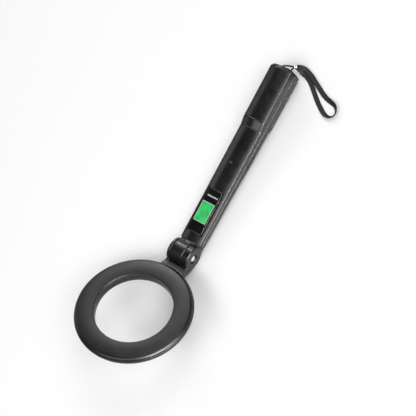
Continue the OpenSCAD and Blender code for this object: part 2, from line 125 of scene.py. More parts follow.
def lathe(name, profile, place, segments=96, centre=(0, 0), axis="Z", sharp=40.0):
    """A closed profile of (radius, height) turned about an axis. Points at radius 0 close the ends."""
    profile = np.asarray(profile, float)
    closed = profile[0, 0] > 1e-6
    angles = np.linspace(0, 2 * math.pi, segments, endpoint=False)
    rings = np.zeros((len(profile), segments, 3))
    rings[..., 0] = profile[:, :1] * np.cos(angles)
    rings[..., 1] = profile[:, :1] * np.sin(angles)
    rings[..., 2] = profile[:, 1:2]
    if axis == "X":
        rings = rings[..., [2, 0, 1]]
        rings[..., 1] += centre[0]
        rings[..., 2] += centre[1]
    elif axis == "Y":
        rings = rings[..., [1, 2, 0]]
        rings[..., 0] += centre[0]
        rings[..., 2] += centre[1]
    else:
        rings[..., 0] += centre[0]
        rings[..., 1] += centre[1]
    if closed:
        obj = mesh_object(
            name, rings.reshape(-1, 3), grid_faces(len(profile), segments, True), place, sharp
        )
    else:
        inner = rings[1:-1]
        n = len(inner) * segments
        faces = grid_faces(len(inner), segments)
        points = np.concatenate([inner.reshape(-1, 3), rings[:1, 0], rings[-1:, 0]])
        last = (len(inner) - 1) * segments
        for j in range(segments):
            faces.append([n, (j + 1) % segments, j])
            faces.append([n + 1, last + j, last + (j + 1) % segments])
        obj = mesh_object(name, points, faces, place, sharp)
    outward(obj)
    smooth(obj, sharp)
    return obj


def combine(obj, others, operation="DIFFERENCE", sharp=40.0):
    for other in others:
        step = obj.modifiers.new("step", "BOOLEAN")
        step.operation = operation
        step.solver = "MANIFOLD"
        step.object = other
        bpy.context.view_layer.update()
        made = bpy.data.meshes.new_from_object(obj.evaluated_get(bpy.context.evaluated_depsgraph_get()))
        obj.modifiers.clear()
        old = obj.data
        obj.data = made
        bpy.data.meshes.remove(old)
        bpy.data.objects.remove(other)
    smooth(obj, sharp)
    return obj


def join(name, objects):
    """One mesh from several."""
    points, faces, start = [], [], 0
    for o in objects:
        points += [tuple(v.co) for v in o.data.vertices]
        faces += [[start + i for i in p.vertices] for p in o.data.polygons]
        start += len(o.data.vertices)
        bpy.data.objects.remove(o)
    return mesh_object(name, points, faces, Matrix.Identity(4))


def arc(cx, cz, r, a0, a1, n):
    a = np.radians(np.linspace(a0, a1, n))
    return [(cx + r * math.cos(t), cz + r * math.sin(t)) for t in a]


def rounded_rect(cx, cy, half_w, half_l, r, n=6):
    r = max(min(r, half_w - 0.01, half_l - 0.01), 0.02)
    out = []
    for sx, sy, a in ((1, -1, -90), (1, 1, 0), (-1, 1, 90), (-1, -1, 180)):
        out += arc(cx + sx * (half_w - r), cy + sy * (half_l - r), r, a, a + 90, n)
    return out


def plate(name, cx, cy, half_w, half_l, r, z0, z1, place, bevel=0.3, low_bevel=0.0, steps=4):
    """A rounded rectangular plate with rounded upper, and if wanted lower, edges."""
    levels = []
    if low_bevel:
        for t in np.radians(np.linspace(90, 0, steps)):
            levels.append((low_bevel * (1 - math.cos(t)), z0 + low_bevel * (1 - math.sin(t))))
    else:
        levels.append((0, z0))
    if bevel:
        for t in np.radians(np.linspace(0, 90, steps)):
            levels.append((bevel * (1 - math.cos(t)), z1 - bevel * (1 - math.sin(t))))
    else:
        levels.append((0, z1))
    rings = [[(x, y, z) for x, y in rounded_rect(cx, cy, half_w - d, half_l - d, r - d)] for d, z in levels]
    return loft(name, rings, place)


def block(name, lo, hi, place):
    cx, cy = (lo[0] + hi[0]) / 2, (lo[1] + hi[1]) / 2
    return plate(name, cx, cy, (hi[0] - lo[0]) / 2, (hi[1] - lo[1]) / 2, 0.05, lo[2], hi[2], place, bevel=0)


# ---- rounded solids from distance fields ----
def field_box(p, lo, hi, r):
    c = [(a + b) / 2 for a, b in zip(lo, hi)]
    h = [(b - a) / 2 - r for a, b in zip(lo, hi)]
    q = [np.abs(v - k) - s for v, k, s in zip(p, c, h)]
    outside = np.sqrt(sum(np.maximum(v, 0) ** 2 for v in q))
    return outside + np.minimum(np.maximum(np.maximum(q[0], q[1]), q[2]), 0) - r


def field_drum(p, r, x0, x1, edge, centre=(0, 0)):
    radial = np.hypot(p[1] - centre[0], p[2] - centre[1]) - (r - edge)
    along = np.abs(p[0] - (x0 + x1) / 2) - ((x1 - x0) / 2 - edge)
    outside = np.hypot(np.maximum(radial, 0), np.maximum(along, 0))
    return outside + np.minimum(np.maximum(radial, along), 0) - edge


def melt(a, b, k):
    """Union with a fillet of about k."""
    h = np.maximum(k - np.abs(a - b), 0) / k
    return np.minimum(a, b) - h * h * k / 4


def carve(a, b, k):
    """a without b, with a rounded edge of about k."""
    return -melt(-a, b, k)


def field_object(name, field, lo, hi, step, place):
    """A smooth closed mesh where the field is zero, with the field's own normals."""
    axes = [np.arange(a, b + step, step) for a, b in zip(lo, hi)]
    value = field(np.meshgrid(*axes, indexing="ij"))
    inside = value < 0
    shape = value.shape
    count = np.zeros([s - 1 for s in shape], np.int8)
    corners = [(i, j, k) for i in (0, 1) for j in (0, 1) for k in (0, 1)]
    for i, j, k in corners:
        count += inside[i : shape[0] - 1 + i, j : shape[1] - 1 + j, k : shape[2] - 1 + k]
    cells = np.argwhere((count > 0) & (count < 8))
    ids = np.full(count.shape, -1, np.int64)
    ids[tuple(cells.T)] = np.arange(len(cells))
    total = np.zeros((len(cells), 3))
    hits = np.zeros(len(cells))
    for a in corners:
        for axis in range(3):
            if a[axis]:
                continue
            b = list(a)
            b[axis] = 1
            fa = value[tuple((cells + a).T)]
            fb = value[tuple((cells + b).T)]
            crossed = (fa < 0) != (fb < 0)
            t = np.where(crossed, fa / np.where(crossed, fa - fb, 1), 0)
            at = np.array(a, float) + t[:, None] * (np.array(b) - np.array(a))
            total[crossed] += at[crossed]
            hits += crossed
    points = (cells + total / hits[:, None]) * step + np.array(lo, float)

    def slope(p):
        d = step * 0.08
        g = np.empty_like(p)
        for k in range(3):
            move = np.zeros(3)
            move[k] = d
            g[:, k] = (field(list((p + move).T)) - field(list((p - move).T))) / (2 * d)
        return g

    for _ in range(2):
        g = slope(points)
        size = np.maximum((g * g).sum(1), 0.05)
        shift = -(field(list(points.T)) / size)[:, None] * g
        points += np.clip(shift, -step * 0.5, step * 0.5)
    faces = []
    for axis in range(3):
        u, v = (axis + 1) % 3, (axis + 2) % 3
        low = [slice(None)] * 3
        high = [slice(None)] * 3
        low[axis] = slice(0, -1)
        high[axis] = slice(1, None)
        a, b = inside[tuple(low)], inside[tuple(high)]
        for filled, flip in ((a & ~b, False), (~a & b, True)):
            at = np.argwhere(filled)
            at = at[(at[:, u] > 0) & (at[:, v] > 0) & (at[:, u] < shape[u] - 1) & (at[:, v] < shape[v] - 1)]
            quad = []
            for du, dv in ((0, 0), (-1, 0), (-1, -1), (0, -1)):
                c = at.copy()
                c[:, u] += du
                c[:, v] += dv
                quad.append(ids[tuple(c.T)])
            quad = np.stack(quad, 1)
            faces += (quad[:, ::-1] if flip else quad).tolist()
    normals = slope(points)
    obj = mesh_object(name, points, faces, place, sharp=180)
    normals = normals @ np.array(place)[:3, :3].T
    normals /= np.maximum(np.linalg.norm(normals, axis=1), 1e-9)[:, None]
    if len(obj.data.vertices) == len(normals):
        obj.data.normals_split_custom_set_from_vertices(normals.tolist())
    return obj


# ---- materials ----
class Nodes:
    """A material's node tree with short calls."""

    def __init__(self, name):
        self.material = bpy.data.materials.new(name)
        self.material.use_nodes = True
        self.tree = self.material.node_tree
        self.shader = self.tree.nodes["Principled BSDF"]
        self.place = self.tree.nodes.new("ShaderNodeTexCoord").outputs["Object"]

    def link(self, a, b):
        self.tree.links.new(a, b)

    def noise(self, scale, detail=3.0, rough=0.5, stretch=None):
        node = self.tree.nodes.new("ShaderNodeTexNoise")
        node.inputs["Scale"].default_value = scale
        node.inputs["Detail"].default_value = detail
        node.inputs["Roughness"].default_value = rough
        source = self.place
        if stretch:
            mapping = self.tree.nodes.new("ShaderNodeMapping")
            mapping.inputs["Scale"].default_value = stretch
            self.link(source, mapping.inputs["Vector"])
            source = mapping.outputs["Vector"]
        self.link(source, node.inputs["Vector"])
        return node.outputs["Fac"]

    def blend(self, factor, a, b, low=0.35, high=0.65):
        ramp = self.tree.nodes.new("ShaderNodeValToRGB")
        ramp.color_ramp.elements[0].position = low
        ramp.color_ramp.elements[1].position = high
        ramp.color_ramp.elements[0].color = (*a, 1)
        ramp.color_ramp.elements[1].color = (*b, 1)
        self.link(factor, ramp.inputs["Fac"])
        return ramp.outputs["Color"]

    def scale(self, factor, low, high):
        node = self.tree.nodes.new("ShaderNodeMapRange")
        node.inputs["From Min"].default_value = 0.3
        node.inputs["From Max"].default_value = 0.7
        node.inputs["To Min"].default_value = low
        node.inputs["To Max"].default_value = high
        self.link(factor, node.inputs["Value"])
        return node.outputs["Result"]

    def bump(self, height, distance, strength=1.0, under=None):
        node = self.tree.nodes.new("ShaderNodeBump")
        node.inputs["Distance"].default_value = distance
        node.inputs["Strength"].default_value = strength
        self.link(height, node.inputs["Height"])
        if under is not None:
            self.link(under, node.inputs["Normal"])
        return node.outputs["Normal"]

    def set(self, **values):
        names = {
            "metallic": "Metallic",
            "rough": "Roughness",
            "specular": "Specular IOR Level",
            "coat": "Coat Weight",
            "coat_rough": "Coat Roughness",
            "sheen": "Sheen Weight",
            "sheen_rough": "Sheen Roughness",
            "emission_strength": "Emission Strength",
        }
        for key, value in values.items():
            self.shader.inputs[names[key]].default_value = value
        return self


def plastic(name, base, base2, rough, rough2, grain=0.00004, grain_scale=2600, specular=0.5):
    """Moulded plastic: slight tone and gloss changes, and a fine spark-eroded grain."""
    n = Nodes(name)
    n.link(n.blend(n.noise(60, 4), base, base2), n.shader.inputs["Base Color"])
    n.link(n.scale(n.noise(95, 5, 0.6), rough, rough2), n.shader.inputs["Roughness"])
    ripple = n.bump(n.noise(70, 2), 0.00003, 0.25)
    n.link(n.bump(n.noise(grain_scale, 2, 0.6), grain, 0.6, ripple), n.shader.inputs["Normal"])
    n.set(specular=specular)
    return n.material


def metal(name, base, base2, rough, rough2, stretch=(1, 1, 1), grain=0.00001):
    n = Nodes(name)
    n.link(n.blend(n.noise(400, 4, 0.6, stretch), base, base2), n.shader.inputs["Base Color"])
    n.link(n.scale(n.noise(700, 4, 0.6, stretch), rough, rough2), n.shader.inputs["Roughness"])
    n.link(n.bump(n.noise(1500, 3, 0.6, stretch), grain, 0.5), n.shader.inputs["Normal"])
    n.set(metallic=1.0)
    return n.material


MATERIALS = {
    "ring_plastic": plastic(
        "ring_plastic", (0.006, 0.0062, 0.0064), (0.009, 0.0092, 0.0095), 0.30, 0.38, specular=0.38
    ),
    "case_plastic": plastic("case_plastic", (0.005, 0.0052, 0.0054), (0.008, 0.0082, 0.0085), 0.24, 0.32),
    "cap_plastic": plastic("cap_plastic", (0.004, 0.0042, 0.0044), (0.006, 0.0062, 0.0064), 0.24, 0.32),
    "hinge_plastic": plastic("hinge_plastic", (0.005, 0.0052, 0.0054), (0.008, 0.0082, 0.0085), 0.28, 0.36),
    "inner_plastic": plastic("inner_plastic", (0.05, 0.05, 0.052), (0.07, 0.07, 0.072), 0.5, 0.6),
    "part_black": plastic("part_black", (0.018, 0.018, 0.02), (0.026, 0.026, 0.028), 0.45, 0.6),
    "battery_wrap": plastic("battery_wrap", (0.30, 0.22, 0.06), (0.36, 0.27, 0.08), 0.25, 0.35, 0.00002),
    "wire": plastic("wire", (0.015, 0.015, 0.015), (0.02, 0.02, 0.02), 0.4, 0.5),
    "wire_red": plastic("wire_red", (0.42, 0.02, 0.02), (0.5, 0.03, 0.03), 0.4, 0.5),
    "bobbin": plastic("bobbin", (0.7, 0.67, 0.57), (0.78, 0.75, 0.64), 0.45, 0.55),
    "board_green": plastic("board_green", (0.02, 0.13, 0.045), (0.03, 0.17, 0.06), 0.22, 0.3, 0.00002),
    "button_rubber": plastic(
        "button_rubber", (0.012, 0.0125, 0.013), (0.02, 0.0205, 0.021), 0.5, 0.62, 0.00006, 1800
    ),
    "steel_bright": metal("steel_bright", (0.78, 0.78, 0.79), (0.86, 0.86, 0.87), 0.10, 0.2),
    "steel_screw": metal("steel_screw", (0.5, 0.5, 0.51), (0.62, 0.62, 0.63), 0.25, 0.4),
    "motor_metal": metal("motor_metal", (0.5, 0.5, 0.51), (0.6, 0.6, 0.61), 0.3, 0.4, (8, 1, 1)),
    "brass_washer": metal("brass_washer", (0.6, 0.45, 0.2), (0.7, 0.55, 0.28), 0.25, 0.35),
    "copper": metal("copper", (0.6, 0.26, 0.12), (0.75, 0.36, 0.18), 0.3, 0.45, (1, 1, 9), 0.00005),
}


def gloss_window():
    n = Nodes("window_gloss")
    tint = n.blend(n.noise(30, 2), (0.006, 0.0062, 0.0065), (0.009, 0.0092, 0.0096))
    n.link(tint, n.shader.inputs["Base Color"])
    n.link(n.scale(n.noise(120, 5, 0.65), 0.08, 0.16), n.shader.inputs["Roughness"])
    n.link(n.bump(n.noise(45, 2), 0.00006, 0.2), n.shader.inputs["Normal"])
    n.set(specular=0.55, coat=0.4, coat_rough=0.05)
    return n.material


def lit(name, colour, colour2, strength, body=1.0, rough=0.2, scale=90):
    """A surface that glows; its own colour is body times the glow's."""
    n = Nodes(name)
    tone = n.noise(scale, 3)
    own = [[body * c for c in tint] for tint in (colour, colour2)]
    n.link(n.blend(tone, *own), n.shader.inputs["Base Color"])
    n.link(n.blend(tone, colour, colour2), n.shader.inputs["Emission Color"])
    n.link(n.scale(n.noise(600, 2), rough, rough + 0.06), n.shader.inputs["Roughness"])
    n.set(emission_strength=strength)
    return n.material


def woven(name, base, base2, scale, distance):
    n = Nodes(name)
    n.link(n.blend(n.noise(scale, 4, 0.7), base, base2), n.shader.inputs["Base Color"])
    n.link(n.scale(n.noise(scale * 0.5, 3), 0.6, 0.8), n.shader.inputs["Roughness"])
    n.link(n.bump(n.noise(scale * 1.6, 3, 0.7), distance, 0.8), n.shader.inputs["Normal"])
    n.set(sheen=0.06, sheen_rough=0.4, specular=0.3)
    return n.material


MATERIALS["window_gloss"] = gloss_window()
MATERIALS["lcd"] = lit("lcd", (0.02, 0.47, 0.11), (0.06, 0.62, 0.17), 0.85, 0.15, scale=140)
MATERIALS["lcd_border"] = lit("lcd_border", (0.55, 0.60, 0.55), (0.66, 0.70, 0.65), 0.1, 0.8)
MATERIALS["lcd_mark"] = lit("lcd_mark", (0.05, 0.30, 0.13), (0.10, 0.40, 0.20), 0.85, 0.15, scale=400)
MATERIALS["print_white"] = plastic("print_white", (0.6, 0.6, 0.6), (0.75, 0.75, 0.75), 0.4, 0.5)
MATERIALS["lamp_red"] = lit("lamp_red", (0.16, 0.012, 0.02), (0.22, 0.02, 0.03), 0.35, 1.0, 0.12)
MATERIALS["cord_black"] = woven("cord_black", (0.004, 0.004, 0.0045), (0.012, 0.012, 0.013), 2600, 0.00006)
MATERIALS["webbing_black"] = woven(
    "webbing_black", (0.004, 0.004, 0.0045), (0.013, 0.013, 0.014), 2200, 0.00007
)


def finish_piece(obj, material, body, slot, *nodes):
    obj.data.materials.clear()
    obj.data.materials.append(MATERIALS[material])
    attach(obj, body)
    if nodes:
        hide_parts(*nodes)
    return obj


# ---- search ring ----
R_IN, R_OUT, Z_TOP, Z_LOW, SEAM = 49.5, 75.0, 7.0, -7.4, 3.0
RIM, LOW_RIM, LIP = 5.8, 8, 1.5
RIM_X = R_OUT - RIM


def crown_z(x, top):
    return top - (x - 61) ** 2 / 180


def ring_top_outline():
    out = []
    cz = crown_z(RIM_X, Z_TOP) - RIM
    start = math.degrees(math.asin((SEAM + 0.3 - cz) / RIM))
    lip = RIM_X + math.sqrt(RIM**2 - (SEAM - cz) ** 2)
    out += [(lip - 2.0, SEAM), (lip - 0.32, SEAM), (lip - 0.12, SEAM + 0.08)]
    out += arc(RIM_X, cz, RIM, start, 88, 24)
    out += [(x, crown_z(x, Z_TOP)) for x in np.linspace(68.6, R_IN + LIP, 30)]
    zc = crown_z(R_IN + LIP, Z_TOP) - LIP
    out += arc(R_IN + LIP, zc, LIP, 97, 180, 9)
    out += [(R_IN, SEAM + 0.3), (R_IN + 0.1, SEAM + 0.08), (R_IN + 0.3, SEAM), (R_IN + 2, SEAM)]
    out += [(R_IN + 2, crown_z(R_IN + 2, Z_TOP) - 2.2)]
    out += [(x, crown_z(x, Z_TOP) - 2) for x in np.linspace(R_IN + 2.6, 68.6, 16)]
    out += arc(RIM_X, cz, RIM - 2, 80, start + 6, 6)
    return out


def ring_low_outline():
    out = []
    cz = crown_z(RIM_X, Z_TOP) - RIM
    lip = RIM_X + math.sqrt(RIM**2 - (SEAM - 0.62 - cz) ** 2)
    out += [(lip - 2, SEAM - 0.02), (lip - 0.55, SEAM - 0.02), (lip - 0.52, SEAM - 0.5)]
    out += [(lip - 0.3, SEAM - 0.62), (lip - 0.05, SEAM - 0.72), (lip + 0.06, SEAM - 0.95)]
    start = math.degrees(math.asin((SEAM - 1.1 - cz) / RIM))
    out += arc(RIM_X, cz, RIM, start, 0, 6)
    out += arc(R_OUT - LOW_RIM, Z_LOW + LOW_RIM, LOW_RIM, 0, -90, 26)
    out += [(x, Z_LOW) for x in np.linspace(64, R_IN + 2.5, 8)]
    out += arc(R_IN + LIP, Z_LOW + LIP, LIP, -90, -180, 9)
    out += [(R_IN, 0), (R_IN, SEAM - 0.35), (R_IN + 0.12, SEAM - 0.1), (R_IN + 0.35, SEAM - 0.02)]
    out += [(R_IN + 2, SEAM - 0.02), (R_IN + 2, Z_LOW + 2.4), (R_IN + 2.5, Z_LOW + 2)]
    out += [(x, Z_LOW + 2) for x in np.linspace(R_IN + 4, 66, 6)]
    out += arc(R_OUT - LOW_RIM, Z_LOW + LOW_RIM, LOW_RIM - 2, -84, 0, 12)
    return out


SCREWS = [(54.8 * math.cos(math.radians(a)), 54.8 * math.sin(math.radians(a))) for a in range(0, 360, 60)]


def screw(name, head_r, head_h, shank_r, length, place, centre, z, up=-1):
    """A pan-head screw with a cross recess. The head's underside is at z and its top points to up."""
    sweep = np.linspace(0.12, math.pi / 2, 9)
    dome = [(head_r * math.sin(t) ** 0.8, head_h - head_h * 0.55 * (1 - math.cos(t))) for t in sweep]
    dome = [(0, head_h)] + dome
    profile = dome + [(head_r, 0.12), (head_r - 0.12, 0), (shank_r, 0), (shank_r, -length), (0, -length)]
    profile = [(r, z + up * h) for r, h in profile]
    body = lathe(name, profile, place, 40, centre)
    cutters = []
    for k in range(2):
        half = (head_r * 0.62, head_r * 0.14) if k == 0 else (head_r * 0.14, head_r * 0.62)
        low, high = sorted((z + up * head_h * 0.35, z + up * (head_h + 1)))
        corner0 = (centre[0] - half[0], centre[1] - half[1], low)
        corner1 = (centre[0] + half[0], centre[1] + half[1], high)
        cutters.append(block("slot", corner0, corner1, place))
    return combine(body, cutters, sharp=30)


ring_top = lathe("ring_top", ring_top_outline(), RING, 360, sharp=50)
finish_piece(ring_top, "ring_plastic", "head", "ring_plastic", "ring_top_shell")

ring_low = lathe("ring_low", ring_low_outline(), RING, 360, sharp=50)
bores = []
for x, y in SCREWS:
    rim = [(0, Z_LOW - 1), (3.2, Z_LOW - 1), (2.9, Z_LOW - 0.01), (2.62, Z_LOW + 0.1), (2.5, Z_LOW + 0.32)]
    bores.append(lathe("bore", rim + [(2.5, Z_LOW + 1.6), (0, Z_LOW + 1.6)], RING, 48, (x, y)))
bores.append(block("plug_hole", (-11, 60, -3.5), (11, 78, 1.5), RING))
combine(ring_low, bores, sharp=50)
finish_piece(ring_low, "ring_plastic", "head", "ring_plastic", "ring_bottom_shell")
ring_screws = join("ring_screw_set", [screw("s", 2.3, 1.3, 1.1, 9.0, RING, c, Z_LOW + 1.6) for c in SCREWS])
smooth(ring_screws, 30)
finish_piece(ring_screws, "steel_screw", "head", "steel_screw", "ring_screws")


# ---- hinge ----
EAR_L, EAR_R, BARREL = (-16.5, -12.4), (7.0, 16.5), (-12.0, 6.6)
HINGE_R = 16.0


def hexagon(p, r, x0, x1, edge):
    """A hexagonal prism along X whose corners are at radius r."""
    flat = r * math.cos(math.pi / 6)
    sides = [np.abs(p[1] * math.cos(a) + p[2] * math.sin(a)) for a in np.radians([30, 90, 150])]
    d = np.maximum.reduce(sides) - flat
    along = np.abs(p[0] - (x0 + x1) / 2) - (x1 - x0) / 2
    return -melt(-d, -along, edge)


def rounded_drum(p, x0, x1, edge0, edge1):
    """A hinge disc whose two rims are rounded by their own radii."""
    low = field_drum(p, HINGE_R, x0, x1 + 9, edge0)
    return np.maximum(low, field_drum(p, HINGE_R, x0 - 9, x1, edge1))


def yoke_field(p):
    x, y, z = p
    half = np.interp(-y, [8, 18, 26, 40], [16.5, 16.5, 18.6, 18.6])
    floor_z = np.interp(-y, [0, 14, 24, 40], [-16, -16, -14, -9.2])
    neck = -melt(-(np.abs(x) - half), -np.maximum(z + 3, floor_z - z), 0.9)
    neck = np.maximum(neck, np.maximum(y + 6, -34 - y))
    neck = carve(neck, np.hypot(np.abs(x) - half, z + 6.2) - 0.5, 0.3)
    shape = neck
    for (x0, x1), (rim0, rim1) in ((EAR_L, (1.5, 0.9)), (EAR_R, (0.4, 1.8))):
        ear = rounded_drum(p, x0, x1, rim0, rim1)
        foot = field_box(p, (x0, -18, -16), (x1, 0, -3), 0.9)
        shape = melt(shape, melt(ear, foot, 0.8), 1.2)
    ring_gap = 75.05 - np.hypot(x, y + 100)
    shape = carve(shape, -ring_gap, 0.5)
    shape = np.minimum(shape, field_box(p, (-10.9, -33.8, -7.4), (10.9, -22, -2.6), 0.4))
    shape = carve(shape, field_drum(p, 16.5, EAR_L[1], EAR_R[0], 0.05), 0.5)
    shape = carve(shape, field_drum(p, 6.0, 13.5, 20, 0.1), 0.9)
    shape = carve(shape, hexagon(p, 4.55, -20, -14.1, 0.1), 0.4)
    return carve(shape, field_drum(p, 2.5, -30, 30, 0.05), 0.1)


yoke = field_object("neck_and_ears", yoke_field, (-19.6, -35.2, -17.2), (19.6, 17.2, 17.2), 0.36, HEAD)
finish_piece(yoke, "hinge_plastic", "head", "hinge_plastic", "neck_yoke")


def barrel_field(p):
    """The knuckle between the ears, the cup at the handle's end and the tang inside it."""
    x, y, z = p
    arch = np.hypot(x, z + 27.8) - 32.6
    drum = rounded_drum(p, *BARREL, 0.9, 0.9)
    knuckle = field_box(p, (BARREL[0], 0, -15), (BARREL[1], 18.25, 12), 0.5)
    knuckle = -melt(-knuckle, -arch, 0.8)
    cup = field_box(p, (-14.2, 4, -15), (14.2, 18.25, 12), 0.5)
    cup = carve(-melt(-cup, -arch, 0.8), np.hypot(y, z) - HINGE_R - 0.45, 0.3)
    shape = melt(melt(drum, knuckle, np.interp(z, [-4, 6], [0.6, 5.0])), cup, 0.5)
    shape = np.maximum(shape, np.minimum(drum, y - 18.25))
    shape = np.minimum(shape, field_box(p, (-9.9, 17, -11.9), (5.5, 37.9, -2.1), 0.3))
    for x0, x1 in ((-20, BARREL[0] + 0.7), (BARREL[1] - 0.7, 20)):
        shape = carve(shape, field_drum(p, 7, x0, x1, 0.05), 0.2)
    return carve(shape, field_drum(p, 2.56, -30, 30, 0.05), 0.1)


barrel = field_object("barrel_and_tang", barrel_field, (-16.2, -17.2, -17.2), (16.2, 39, 17.2), 0.36, HANDLE)
finish_piece(barrel, "hinge_plastic", "handle", "hinge_plastic", "hinge_barrel")


def pin_field(p):
    head = hexagon(p, 4.6, 13.5, 15.8, 0.4)
    cap = np.hypot(np.hypot(p[1], p[2]), p[0] - 3.2) - 12.85
    head = -melt(-head, -cap, 0.3)
    shape = melt(head, field_drum(p, 2.5, -16.2, 14, 0.3), 0.3)
    return carve(shape, field_drum(p, 0.9, 14.6, 18, 0.1), 0.3)


pin = field_object("hex_pin", pin_field, (-17, -5.4, -5.4), (16.6, 5.4, 5.4), 0.2, HEAD)
finish_piece(pin, "steel_bright", "head", "steel_bright", "hinge_screw")


def nut_field(p):
    return carve(hexagon(p, 4.5, -16.3, -14.1, 0.4), field_drum(p, 2.55, -20, -10, 0.05), 0.3)


nut = field_object("hex_nut", nut_field, (-17, -5.2, -5.2), (-13.4, 5.2, 5.2), 0.2, HEAD)
finish_piece(nut, "steel_screw", "head", "steel_screw", "hinge_nut")

# ---- handle shells ----
HALF_W, CROWN, WALL, BACK_R = 16.0, 4.2, 2.0, 5.0
Y0, Y1 = 18.3, 269.0
LONG = [18.3, 105, 130, 182.4, 187, 194.2, 195, 264, 268, 269]
EDGE = [0.6, 2, 2.4, 3.3, 4.8, 7.2, 7.22, 8.3, 8.35, 8.1]
BACK = [-16, -18, -20, -21.2, -21.3, -24.6, -25, -25, -24.6, -24]
BUTT_LEAN = 0.09
PARTING = ([0, 75, 150, 300], [-4.8, -4.8, -6.5, -6.5])


def eased(y, values):
    """The length profile with its corners eased over about a millimetre."""
    return float(np.mean([np.interp(y + d, LONG, values) for d in np.linspace(-0.7, 0.7, 7)]))


def end_inset(y):
    """The small rounding where the shells end."""
    near = min(y - Y0, Y1 - y)
    r = 0.8 if y < 100 else 1.2
    return r - math.sqrt(max(0.0, r * r - (r - near) ** 2)) if near < r else 0.0


def leaned(y, path):
    """Places a section at y. The butt's end face leans back towards the bottom."""
    lean = BUTT_LEAN * min(max((y - 264) / 4, 0.0), 1.0)
    edge = float(np.interp(y, LONG, EDGE))
    return [(x, y + lean * (edge - z), z) for x, z in path]


# Raised lines across the front: place, height, half width and how far they reach to each side
BEADS = [(182.2, 0.42, 0.5, 15.2), (194.4, 0.42, 0.5, 15.2), (31.0, 0.32, 0.4, 8.6), (91.2, 0.32, 0.4, 10.8)]


def bead(y, x):
    return sum(
        height * math.exp(-(((y - at) / half) ** 2)) * min(1.0, max(0.0, reach - abs(x)))
        for at, height, half, reach in BEADS
    )


def front_path(y, half_w, edge, low):
    """The front's outer section, from the left lip over the crown to the right lip."""
    lip, side_round, crown_round = 0.35, 2.2, 0.8
    slope = 2 * CROWN / half_w
    d = math.hypot(1, slope)
    side_top = edge - side_round
    left = arc(-half_w + lip, low + lip, lip, 270, 180, 4)
    left += [(-half_w, z) for z in np.linspace(low + lip + 0.3, side_top - 0.2, 6)]
    a, c = (-half_w, side_top), (-half_w, edge)
    b = (-half_w + crown_round / d, edge + crown_round * slope / d)
    for s in np.linspace(0, 1, 11):
        left.append(tuple((1 - s) ** 2 * p + 2 * s * (1 - s) * q + s * s * r for p, q, r in zip(a, c, b)))
    x0 = b[0]
    across = np.linspace(x0 * 0.97, -x0 * 0.97, 33)
    middle = [(x, edge + CROWN * (1 - (x / half_w) ** 2) + bead(y, x)) for x in across]
    return left + middle + [(-x, z) for x, z in left[::-1]]


def front_ring(y):
    d = end_inset(y)
    half_w, edge, low = HALF_W - d, eased(y, EDGE) - d * 0.8, float(np.interp(y, *PARTING))
    out = front_path(y, half_w, edge, low + 0.02)
    iw = HALF_W - WALL - (d if y > 200 else 0)
    if Y0 + WALL < y < Y1 - 3:
        ceiling = eased(y, EDGE) - WALL
        inner = [(iw, low + 0.02)] + [(iw, z) for z in np.linspace(low + 1, ceiling, 3)]
        inner += [(x, ceiling + CROWN * (1 - (x / iw) ** 2)) for x in np.linspace(iw * 0.92, -iw * 0.92, 17)]
        inner += [(-x, z) for x, z in inner[3::-1]]
    else:
        inner = [(x, low + 0.02) for x in np.linspace(iw, -iw, 25)]
    return leaned(y, out + inner)


def back_path(half_w, high, back, r, lip=0.8, step=0.4):
    """The back's outer section. Its upper lip is set down a step, which leaves a shadow line."""
    right = [(half_w - lip - 0.25, high), (half_w - lip - 0.2, high - step)]
    right += arc(half_w - lip, high - step - lip, lip, 88, 0, 6)
    right += [(half_w, z) for z in np.linspace(high - step - lip - 0.3, back + r + 0.3, 10)]
    right += arc(half_w - r, back + r, r, 0, -90, 13)
    flat = half_w - r - 0.6
    return right + [(x, back) for x in np.linspace(flat, -flat, 15)] + [(-x, z) for x, z in right[::-1]]


def back_ring(y):
    d = end_inset(y)
    half_w, high = HALF_W - d, float(np.interp(y, *PARTING))
    back = eased(y, BACK) + d * 0.4
    out = back_path(half_w, high - 0.02, back, BACK_R - min(d, 2))
    iw = HALF_W - WALL - (d if y > 200 else 0)
    if Y0 + WALL < y < Y1 - 3:
        low, r = eased(y, BACK) + WALL, BACK_R - WALL
        inner = [(-iw, high - 0.02)] + [(-iw, z) for z in np.linspace(high - 1, low + r, 3)]
        inner += arc(-iw + r, low + r, r, 187, 270, 6)
        inner += [(x, low) for x in np.linspace(-iw + r + 1, -1, 4)]
        inner += [(-x, z) for x, z in inner[::-1]]
    else:
        inner = [(x, high - 0.02) for x in np.linspace(-iw, iw, 28)]
    return leaned(y, out + inner)


DOOR_Y, DOOR_Z = 195.4, -15.3


def door_ring(y):
    d = end_inset(y)
    if y < DOOR_Y + 0.5:
        d += 0.5 - math.sqrt(max(0, 0.25 - (DOOR_Y + 0.5 - y) ** 2))
    half_w = HALF_W - d
    back = eased(y, BACK) + d * 0.4
    out = back_path(half_w, DOOR_Z, back, BACK_R - min(d, 2), 0.7, 0.15)
    iw = HALF_W - WALL - (d if y > 200 else 0)
    low, r = eased(y, BACK) + WALL, BACK_R - WALL
    if y < Y1 - 3:
        inner = [(-iw, DOOR_Z)] + [(-iw, z) for z in np.linspace(DOOR_Z - 1, low + r, 3)]
        inner += arc(-iw + r, low + r, r, 187, 270, 6)
        inner += [(x, low) for x in np.linspace(-iw + r + 1, -1, 4)]
        inner += [(-x, z) for x, z in inner[::-1]]
    else:
        inner = [(x, DOOR_Z) for x in np.linspace(-iw, iw, 28)]
    return leaned(y, out + inner)


